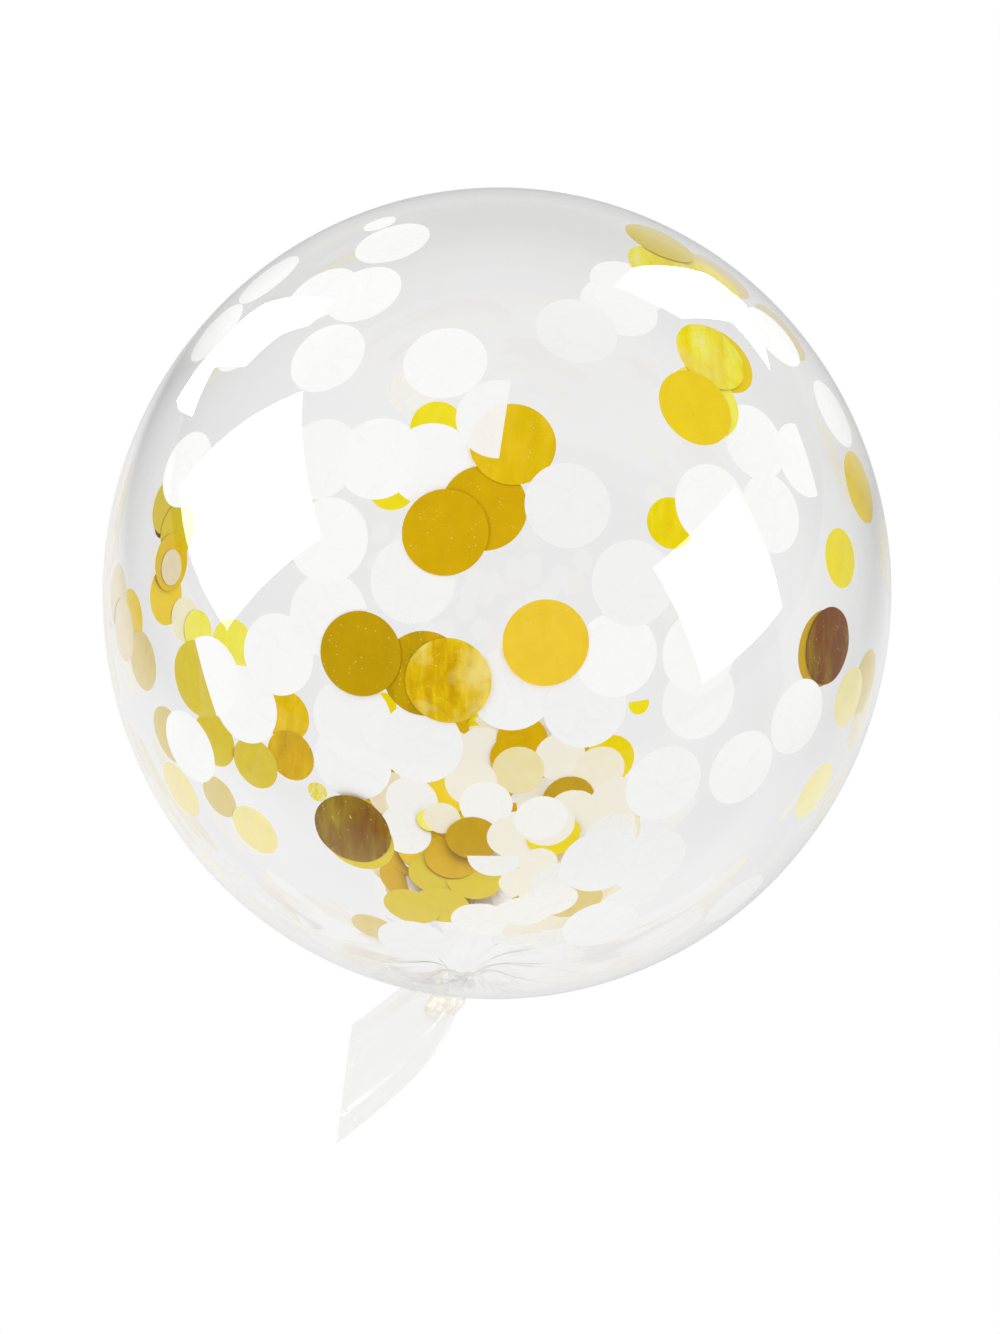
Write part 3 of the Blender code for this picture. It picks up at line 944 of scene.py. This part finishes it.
# Discs on the far side, seen through the balloon, from the wall inwards
farDiscs = {
    "farGoldRight": disc(841, 558, "gold", "yellow", far=True),
    "farGoldMiddle": disc(671, 523, "gold", "lemon", far=True, crinkle=0.3),
    "farWhiteCrescent": disc(414, 390, far=True),
    "farCrescentTop": disc(436, 425, "gold", "yellow", far=True),
    "farCrescentLow": disc(393, 485, "gold", "yellow", far=True),
    "farRowBit": disc(384, 705, "gold", "lemon", far=True, size=0.5),
    "lowRing": disc(387, 869, "cream", 0.5, far=True, size=0.6),
    # painted dark reflection on this foil disc
    "clusterDarkReflection": disc(163, 522, "gold", "paintedReflectionBrown", far=True, size=0.55),
    "clusterSliver": disc(167, 505, "gold", "moss", far=True),
    "clusterOlive": disc(175, 531, "gold", "moss", far=True),
    "clusterRim": disc(130, 620, "gold", "amber", far=True),
    "clusterRimLow": disc(141, 661, "gold", "tan", far=True),
    "clusterPale": disc(116, 596, "gold", "beige", far=True),
    "clusterPaleLow": disc(121, 630, "gold", "beige", far=True),
    "clusterBright": disc(165, 596, "gold", "amber", far=True),
    "clusterRing": disc(168, 562, "gold", "bright", far=True),
    "clusterCream": disc(168, 567, "gold", "beige", far=True, size=0.62),
    "clusterPaleRight": disc(184, 620, "gold", "cream", far=True, size=0.8),
    "clusterYellow": disc(196, 631, "gold", "straw", far=True, size=0.75),
    "clusterUpper": disc(232, 646, "gold", "straw", far=True),
    "clusterLow": disc(214, 740, "gold", "moss", far=True),
    "clusterRight": disc(286, 716, "gold", "bright", far=True, crinkle=0.35),
    "clusterRightLow": disc(290, 756, "gold", "gold", far=True, crinkle=0.35),
    "clusterLowRight": disc(254, 764, "gold", "moss", far=True),
    "paleLeft": disc(169, 735, "gold", "tan", far=True),
    "paleLeftLow": disc(180, 790, "gold", "pale", far=True),
    "paleLeftSmall": disc(219, 797, "gold", "tan", far=True, size=0.8),
    "paleBottomLeft": disc(254, 831, "gold", "pale", far=True),
    "bitBottomLeft": disc(317, 792, "gold", "straw", far=True, size=0.4, crinkle=1.0),
    "crumbRight": disc(639, 704, "gold", "yellow", far=True, size=0.42, cut=(90, 0.3)),
}

stack = DiscStack()
for spec in wallDiscs.values():
    stack.onWall(spec)
for spec in farDiscs.values():
    stack.onWall(spec)

# The heap at the lowest place inside

heap = {
    "seed": 11,
    "count": 110,
    "reach": 0.098,
    "lean": math.radians(14),
    "layer": 0.0011,
    "topDepth": 0.010,  # from the wall to the lowest of the discs that show
    "goldLeft": 0.55,  # share of gold discs at the left and at the right
    "goldRight": 0.12,
    "creamShare": 0.30,
}
# The discs that show, from the bottom upwards
heapTop = {
    "whiteBackLeft": disc(440, 760, tone=0.3),
    "creamLeft": disc(483, 751, "cream", 0.9),
    "goldTopRight": disc(522, 740, "gold", "gold"),
    "goldTop": disc(516, 757, "gold", "gold"),
    "paleBack": disc(560, 757, "cream", 0.9),
    "creamOverGold": disc(518, 770, "cream", 0.35),
    "goldRight": disc(609, 759, "gold", "lemon"),
    "creamRight": disc(599, 770, "cream", 0.6),
    "goldCrescent": disc(568, 799, "gold", "dim"),
    "creamMiddle": disc(572, 812, "cream", 0.8),
    "paleRight": disc(615, 800, "cream", 1.0),
    "paleRightLow": disc(610, 835, tone=0.2),
    "creamFarLeft": disc(394, 795, "gold", "beige"),
    "goldStrip": disc(440, 795, "gold", "amber"),
    "whiteLeft": disc(412, 800, tone=0.3),
    "paleByStrip": disc(471, 782, "cream", 0.95),
    "whiteMiddle": disc(486, 804, tone=0.4),
    "goldBigLeft": disc(424, 850, "gold", "bright"),
    "goldBigLow": disc(436, 874, "gold", "moss"),
    "goldBigRight": disc(474, 880, "gold", "moss"),
    "goldWideLow": disc(452, 858, "gold", "gold"),
    "goldTan": disc(442, 905, "gold", "moss"),
    "goldTanLow": disc(412, 906, "gold", "moss"),
    "paintedReflectionOliveTan": disc(374, 927, "gold", "tan", size=0.8),
    "whiteLeftLow": disc(405, 832, tone=0.4),
    "yellowBit": disc(430, 820, "gold", "straw", size=0.5),
    "creamLeftLow": disc(442, 818, "cream", 0.7, size=0.7),
    "goldWide": disc(473, 838, "gold", "dim"),
    "creamMiddleLow": disc(514, 836, "cream", 0.9),
    "goldUnderWhite": disc(553, 834, "gold", "lemon"),
    "whiteRoundUnder": disc(548, 824, "cream", 1.0),
    "whiteRound": disc(541, 818, tone=0.5),
    "boat": disc(495, 856, tone=0.1, cut=(90, 0.0)),
    "creamSmall": disc(538, 862, "cream", 0.95, size=0.7),
    "creamTilted": disc(520, 882, "cream", 1.0, size=0.75),
    "whiteFrontUnder": disc(560, 880, tone=0.0),
    "goldCorner": disc(574, 901, "gold", "tan"),
    "creamFront": disc(549, 900, tone=0.2),
    "whiteFront": disc(480, 919, tone=0.3),
    "whiteFrontRight": disc(523, 911, tone=0.4),
    "whiteScrap": disc(522, 937, tone=0.2, cut=(90, 0.3)),
    "whiteFrontLow": disc(568, 933, tone=0.2),
}


def heapDisc(pile, spec, place, normal):
    # Rests on what is already there: one layer deeper for each disc under it
    radius = confetti["radius"] * spec["size"]
    under = sum((spot - place).length < radius * 1.2 for spot, size, level in pile.laid)
    inward = toWall(place, confetti["gap"] + under * heap["layer"]) - toWall(place, confetti["gap"])
    pile.laid.append((place, radius, 0))
    pile.inHeap(spec, place + inward, normal)


def shownDisc(pile, spec):
    # Lies exactly where the picture shows it, over the discs before it
    radius = confetti["radius"] * spec["size"]
    low = seenOnWall(spec["x"], spec["y"], True, heap["topDepth"])
    level = pile.layersUnder(low, radius)
    pile.laid.append((low, radius, level))
    place = seenOnWall(spec["x"], spec["y"], True, heap["topDepth"] + level * heap["layer"])
    towards = (eye.location - place).normalized()
    pile.inHeap(spec, place, wallNormal(place).lerp(-towards, spec["face"]).normalized())


def makeHeap():
    pile = DiscStack()
    chance = random.Random(heap["seed"])
    for number in range(heap["count"]):
        around = chance.uniform(0, 2 * math.pi)
        out = heap["reach"] * math.sqrt(chance.random())
        floorSpot = Vector((math.cos(around) * out, math.sin(around) * out, 0))
        place = toWall(centre + (floorSpot - centre) * 0.999, confetti["gap"])
        goldShare = heap["goldLeft"] if floorSpot.x < 0 else heap["goldRight"]
        pick = chance.random()
        if pick < goldShare:
            spec = disc(0, 0, "gold", chance.choice(("gold", "bright", "moss", "lemon")))
        elif pick < goldShare + heap["creamShare"]:
            spec = disc(0, 0, "cream", chance.uniform(0.5, 1))
        else:
            spec = disc(0, 0, tone=0.3)
        lean = Matrix.Rotation(chance.uniform(-1, 1) * heap["lean"], 3, "X")
        tip = Matrix.Rotation(chance.uniform(-1, 1) * heap["lean"], 3, "Y")
        heapDisc(pile, spec, place, (lean @ tip @ wallNormal(place)).normalized())
    pile.laid = []
    for spec in heapTop.values():
        shownDisc(pile, spec)
    return pile


def creamPaper():
    # Cream tissue: its own cream colour together with a painted warm tint that stands for light bounced from the gold
    # round it
    material, tree, shader = newMaterial("cream_tissue")
    shader.inputs["Roughness"].default_value = 0.6
    tone = addNode(tree, "ShaderNodeAttribute", attribute_name="tone")
    spot = addNode(tree, "ShaderNodeUVMap", uv_map="disc")
    clouds = addNode(tree, "ShaderNodeTexNoise", Scale=4.0, Detail=5.0)
    blend = addNode(tree, "ShaderNodeMath", operation="MULTIPLY_ADD")
    blend.inputs[1].default_value = 0.4
    ramp = addNode(tree, "ShaderNodeValToRGB")
    ramp.color_ramp.elements[0].color = (0.87, 0.76, 0.36, 1)
    ramp.color_ramp.elements[1].color = (0.925, 0.89, 0.79, 1)
    ramp.color_ramp.elements[0].position = 0.35
    ramp.color_ramp.elements[1].position = 1.0
    tree.links.new(spot.outputs["UV"], clouds.inputs["Vector"])
    tree.links.new(clouds.outputs["Fac"], blend.inputs[0])
    tree.links.new(tone.outputs["Fac"], blend.inputs[2])
    tree.links.new(blend.outputs["Value"], ramp.inputs["Fac"])
    tree.links.new(ramp.outputs["Color"], shader.inputs["Base Color"])
    return material


paperMaterials = {
    "gold": foilMaterial,
    "tissue": tissueMaterial,
    "thin": thinTissueMaterial,
    "cream": creamPaper(),
}
for prefix, discs in (("clinging_confetti_", stack), ("heaped_confetti_", makeHeap())):
    for kind, piece in discs.pieces(prefix, paperMaterials):
        if kind != "gold" or prefix == "heaped_confetti_":
            piece.visible_shadow = False  # thin paper lets the light through
        if kind != "gold":
            piece.visible_diffuse = False
        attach(piece, "root")
print("confetti made")

# Studio: a white floor, a dark room above it, and four bright panels whose reflections show on the film

studio = {
    "floorEdge": 30.0,
    "floorGap": 0.0005,
    "worldStrength": 1.09,
    "litBack": 0.15,  # the part of the floor that the film mirrors, and how far back its middle lies
    "litLeft": 0.15,
    "litHalfWidth": 0.62,
    "litHalfDepth": 0.85,
    "litBehind": 0.76,  # how bright it is behind the balloon
    "sideGlow": 0.35,
    "contactShade": 0.20,  # how much darker the mirrored floor is right below
    "contactReach": 0.42,
    "contactRight": 0.10,
    "backGlow": 0.70,  # how bright the wall behind the balloon is at floor level
    "darkRoom": 0.012,
    "panelDistance": 1.5,
    "panelStrength": 16.0,
    "innerPanelStrength": 0.3,  # as mirrored by the inside of the film
}
# Each panel by the picture points of its reflection in the near wall
panels = {
    "left": {"azimuth": math.radians(-94),
             "corners": ((303, 391), (180, 487), (227, 630), (322, 537))},
    "right": {"azimuth": math.radians(97),
              "corners": ((735, 486), (653, 568), (703, 683), (782, 608))},
    "backLeft": {"azimuth": math.radians(-50),
                 "corners": ((335, 300), (290, 297), (262, 305), (242, 320), (218, 345), (200, 365),
                             (177, 400), (179, 410), (192, 417), (205, 385), (214, 367), (245, 367),
                             (262, 350), (280, 335), (310, 325))},
    "backRight": {"azimuth": math.radians(24),
                  "corners": ((635, 267), (709, 275), (744, 303), (770, 370), (732, 322),
                              (682, 319), (652, 303), (614, 286))},
}


def emptyMaterial(name):
    material = bpy.data.materials.new(name)
    material.use_nodes = True
    material.node_tree.nodes.clear()
    material.cycles.emission_sampling = "NONE"
    return material, material.node_tree


def showOnlyTo(thing, camera=False, diffuse=False, glossy=False, transmission=False):
    thing.visible_camera = camera
    thing.visible_diffuse = diffuse
    thing.visible_glossy = glossy
    thing.visible_transmission = transmission
    thing.visible_shadow = False


def mirroredSpot(x, y, azimuth):
    # Where the reflection seen at this point of the picture comes from, on the panel's upright plane
    place = seenOnWall(x, y)
    normal = wallNormal(place)
    way = sightLine(x, y)
    bounce = way - normal * 2 * way.dot(normal)
    facing = Vector((math.sin(azimuth), math.cos(azimuth), 0))
    return place + bounce * (studio["panelDistance"] - place.dot(facing)) / bounce.dot(facing)


def panelGlow():
    material, tree = emptyMaterial("panelGlow")
    rays = addNode(tree, "ShaderNodeLightPath")
    strength = addNode(tree, "ShaderNodeMapRange")
    strength.inputs["To Min"].default_value = studio["innerPanelStrength"]
    strength.inputs["To Max"].default_value = studio["panelStrength"]
    glow = addNode(tree, "ShaderNodeEmission")
    output = tree.nodes.new("ShaderNodeOutputMaterial")
    tree.links.new(rays.outputs["Is Glossy Ray"], strength.inputs["Value"])
    tree.links.new(strength.outputs["Result"], glow.inputs["Strength"])
    tree.links.new(glow.outputs["Emission"], output.inputs["Surface"])
    return material


def makePanels():
    material = panelGlow()
    for name, panel in panels.items():
        bm = bmesh.new()
        verts = [bm.verts.new(mirroredSpot(x, y, panel["azimuth"])) for x, y in panel["corners"]]
        bm.faces.new(verts)
        thing = pieceFrom("panel_" + name, bm, material, smooth=False)
        showOnlyTo(thing, glossy=True)


def mirroredLight(tree, brightness):
    # White for light that comes straight through the film, and this brightness for its reflections
    rays = addNode(tree, "ShaderNodeLightPath")
    less = addNode(tree, "ShaderNodeMath", operation="SUBTRACT")
    less.inputs[1].default_value = 1.0
    strength = addNode(tree, "ShaderNodeMath", operation="MULTIPLY_ADD")
    strength.inputs[2].default_value = 1.0
    once = addNode(tree, "ShaderNodeMath", operation="MINIMUM")
    once.inputs[1].default_value = 1.0
    glow = addNode(tree, "ShaderNodeEmission")
    tree.links.new(brightness, less.inputs[0])
    tree.links.new(rays.outputs["Glossy Depth"], once.inputs[0])
    tree.links.new(once.outputs["Value"], strength.inputs[0])
    tree.links.new(less.outputs["Value"], strength.inputs[1])
    tree.links.new(strength.outputs["Value"], glow.inputs["Strength"])
    output = tree.nodes.new("ShaderNodeOutputMaterial")
    tree.links.new(glow.outputs["Emission"], output.inputs["Surface"])


def fading(tree, value, start, end, low, high):
    # A soft change from one brightness to another
    fade = addNode(tree, "ShaderNodeMapRange", interpolation_type="SMOOTHSTEP")
    fade.inputs["From Min"].default_value = start
    fade.inputs["From Max"].default_value = end
    fade.inputs["To Min"].default_value = low
    fade.inputs["To Max"].default_value = high
    tree.links.new(value, fade.inputs["Value"])
    return fade.outputs["Result"]


def joined(tree, operation, first, second):
    both = addNode(tree, "ShaderNodeMath", operation=operation)
    tree.links.new(first, both.inputs[0])
    tree.links.new(second, both.inputs[1])
    return both.outputs["Value"]


def backShare(tree, place):
    # How much a direction points to the back of the room
    way = addNode(tree, "ShaderNodeVectorMath", operation="NORMALIZE")
    parts = addNode(tree, "ShaderNodeSeparateXYZ")
    tree.links.new(place, way.inputs[0])
    tree.links.new(way.outputs["Vector"], parts.inputs["Vector"])
    return fading(tree, parts.outputs["Y"], 0.45, 0.90, 0, 1), parts.outputs["Z"]


def mirroredFloor():
    # Lit round the balloon and to the back, darker at the sides and right below
    material, tree = emptyMaterial("mirroredFloor")
    place = addNode(tree, "ShaderNodeTexCoord")
    oval = addNode(tree, "ShaderNodeMapping")
    oval.inputs["Location"].default_value = (
        studio["litLeft"] / studio["litHalfWidth"], -studio["litBack"] / studio["litHalfDepth"], 0)
    oval.inputs["Scale"].default_value = (1 / studio["litHalfWidth"], 1 / studio["litHalfDepth"], 0)
    reach = addNode(tree, "ShaderNodeVectorMath", operation="LENGTH")
    below = addNode(tree, "ShaderNodeVectorMath", operation="SUBTRACT")
    below.inputs[1].default_value = (studio["contactRight"], 0, 0)
    nearness = addNode(tree, "ShaderNodeVectorMath", operation="LENGTH")
    tree.links.new(place.outputs["Object"], oval.inputs["Vector"])
    tree.links.new(oval.outputs["Vector"], reach.inputs[0])
    tree.links.new(place.outputs["Object"], below.inputs[0])
    tree.links.new(below.outputs["Vector"], nearness.inputs[0])
    lit = fading(tree, reach.outputs["Value"], 0.80, 1.45, 0.98, studio["sideGlow"])
    back, height = backShare(tree, place.outputs["Object"])
    backGlow = fading(tree, back, 0, 1, 0, studio["backGlow"])
    behind = fading(tree, back, 0, 1, 1, studio["litBehind"])
    shade = fading(tree, nearness.outputs["Value"], 0, studio["contactReach"], 1 - studio["contactShade"], 1)
    lit = joined(tree, "MULTIPLY", lit, behind)
    mirroredLight(tree, joined(tree, "MULTIPLY", joined(tree, "MAXIMUM", lit, backGlow), shade))
    return material


def mirroredDome():
    # Glows low behind the balloon, dark everywhere else
    material, tree = emptyMaterial("mirroredDome")
    place = addNode(tree, "ShaderNodeTexCoord")
    back, height = backShare(tree, place.outputs["Object"])
    low = fading(tree, height, -0.10, 0.50, studio["backGlow"], 0)
    dark = addNode(tree, "ShaderNodeValue")
    dark.outputs[0].default_value = studio["darkRoom"]
    glow = joined(tree, "MAXIMUM", joined(tree, "MULTIPLY", back, low), dark.outputs[0])
    mirroredLight(tree, glow)
    return material


def makeRoom():
    floor = bmesh.new()
    bmesh.ops.create_circle(floor, cap_ends=True, segments=96, radius=studio["floorEdge"])
    bmesh.ops.translate(floor, verts=floor.verts, vec=(0, 0, -studio["floorGap"]))
    pieceFrom("floor", floor, mirroredFloor(), smooth=False)
    dome = bmesh.new()
    bmesh.ops.create_uvsphere(dome, u_segments=48, v_segments=24, radius=studio["floorEdge"] * 0.99)
    thing = pieceFrom("mirrored_dome", dome, mirroredDome(), smooth=False)
    showOnlyTo(thing, glossy=True, transmission=True)


def lightRoom():
    world = bpy.data.worlds.new("studioLight")
    world.use_nodes = True
    background = world.node_tree.nodes["Background"]
    background.inputs["Color"].default_value = (1, 1, 1, 1)
    background.inputs["Strength"].default_value = studio["worldStrength"]
    bpy.context.scene.world = world


makeRoom()
makePanels()
lightRoom()
print("studio made")

scene = bpy.context.scene
scene.view_settings.view_transform = "Standard"
scene.view_settings.look = "None"
scene.cycles.max_bounces = 20
scene.cycles.transmission_bounces = 20
scene.cycles.transparent_max_bounces = 24
scene.cycles.glossy_bounces = 6
scene.cycles.diffuse_bounces = 3
scene.cycles.sample_clamp_indirect = 12.0
scene.cycles.use_denoising = True

bpy.context.view_layer.update()
